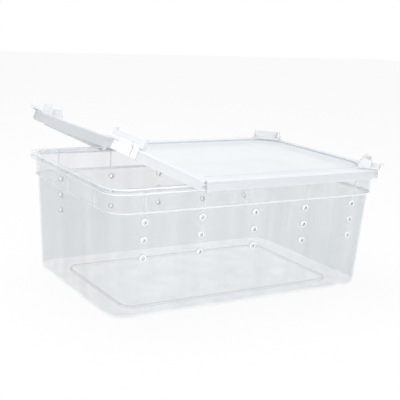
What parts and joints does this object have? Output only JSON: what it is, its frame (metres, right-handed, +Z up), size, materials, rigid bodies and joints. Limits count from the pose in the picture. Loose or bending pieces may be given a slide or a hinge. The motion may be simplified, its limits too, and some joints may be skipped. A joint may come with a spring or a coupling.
{
  "type": "reptile travel box",
  "caption": "Clear plastic travel box for small reptiles: tapered vented tub, lid with a hinged feeding flap, and swinging clips that hook under the rim.",
  "frame": {"origin": "centre of the tub's flat underside", "axes": "+X along the box towards the end away from the flap, +Z up, -Y towards the front long wall"},
  "size_m": [0.3798, 0.2646, 0.2045],
  "materials": {
    "tub_clear": "clear polypropylene, faintly grey-blue, smooth",
    "lid_frosted": "milky translucent polypropylene with a fine satin grain",
    "clip_white": "milky white polypropylene",
    "pin_white": "white plastic rod"
  },
  "bodies": {
    "tub": {"tub": "tub_clear"},
    "lid": {"lid_main": "lid_frosted", "film_hinge": "lid_frosted", "clip_pin_front_right": "pin_white", "clip_pin_back_right": "pin_white"},
    "flap": {"lid_flap": "lid_frosted", "clip_pin_front_left": "pin_white", "clip_pin_back_left": "pin_white"},
    "front_right_clip": {"clip_front_right": "clip_white"},
    "back_right_clip": {"clip_back_right": "clip_white"},
    "front_left_clip": {"clip_front_left": "clip_white"},
    "back_left_clip": {"clip_back_left": "clip_white"}
  },
  "joints": [
    {"name": "lid_lift", "type": "slide", "parent": "tub", "child": "lid", "axis": [0, 0, 1], "range_m": [0, 0.08]},
    {"name": "flap_hinge", "type": "hinge", "parent": "lid", "child": "flap", "pos_m": [-0.075, 0, 0.1497], "axis": [0, 1, 0], "range_deg": [-24.5, 95.5]},
    {"name": "front_right_clip_hinge", "type": "hinge", "parent": "lid", "child": "front_right_clip", "pos_m": [0.18089, -0.11849, 0.1512], "axis": [0.7071, 0.7071, 0], "range_deg": [0, 270]},
    {"name": "back_right_clip_hinge", "type": "hinge", "parent": "lid", "child": "back_right_clip", "pos_m": [0.18089, 0.11849, 0.1512], "axis": [-0.7071, 0.7071, 0], "range_deg": [0, 270]},
    {"name": "front_left_clip_hinge", "type": "hinge", "parent": "flap", "child": "front_left_clip", "pos_m": [-0.17074, -0.11849, 0.19498], "axis": [0.6434, -0.7071, -0.2932], "range_deg": [0, 270]},
    {"name": "back_left_clip_hinge", "type": "hinge", "parent": "flap", "child": "back_left_clip", "pos_m": [-0.17074, 0.11849, 0.19498], "axis": [-0.6434, -0.7071, 0.2932], "range_deg": [0, 270]}
  ]
}
